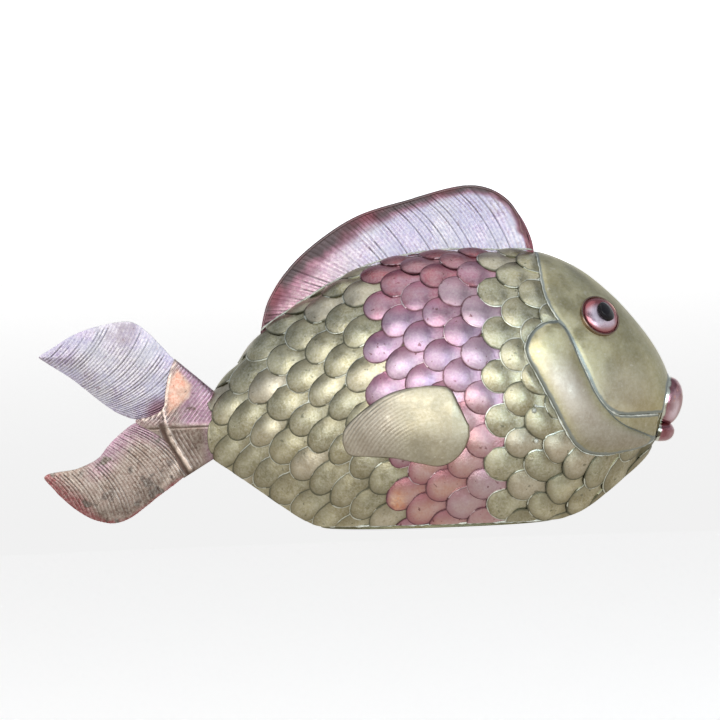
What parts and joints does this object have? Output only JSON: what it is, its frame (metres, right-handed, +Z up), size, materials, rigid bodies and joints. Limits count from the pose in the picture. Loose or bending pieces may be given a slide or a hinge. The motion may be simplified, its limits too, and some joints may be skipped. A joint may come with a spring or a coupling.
{
  "type": "brass fish sculpture",
  "caption": "Plump standing fish ornament of soldered sheet brass and copper, with overlapping scales, ribbed fins, puffed jaw plates and a flat oval base plate.",
  "frame": {"origin": "centre of the bounding box in X and Y, on the underside of the oval base plate", "axes": "+X towards the snout, +Z up, the right flank faces -Y"},
  "size_m": [0.56, 0.1752, 0.2936],
  "materials": {
    "scale_brass": "olive brown patina, satin, bright on the crowns",
    "scale_copper": "red and mauve heat patina, semi-gloss",
    "face_brass": "satin brass with pinkish stains and pale solder seams",
    "fin_copper": "lilac silvery copper with fine chased ribs and a dark red rim",
    "tail_copper": "brown and mauve copper with dark spots and worn ribs",
    "lip_copper": "polished red copper",
    "eye_glass": "opaque black, glossy",
    "base_brass": "dull dark brass with solder along the seam"
  },
  "bodies": {
    "root": {"body_shell": "scale_brass", "head_shell": "face_brass", "jaw_plate_right": "face_brass", "jaw_plate_left": "face_brass", "eye_right": "scale_copper", "eye_left": "scale_copper", "pupil_right": "eye_glass", "pupil_left": "eye_glass", "pectoral_fin_right": "face_brass", "pectoral_fin_left": "face_brass", "upper_lip": "lip_copper", "lower_lip": "lip_copper", "dorsal_fin": "fin_copper", "tail_root": "tail_copper", "tail_upper_lobe": "fin_copper", "tail_lower_lobe": "tail_copper", "base_plate": "base_brass"}
  },
  "joints": []
}
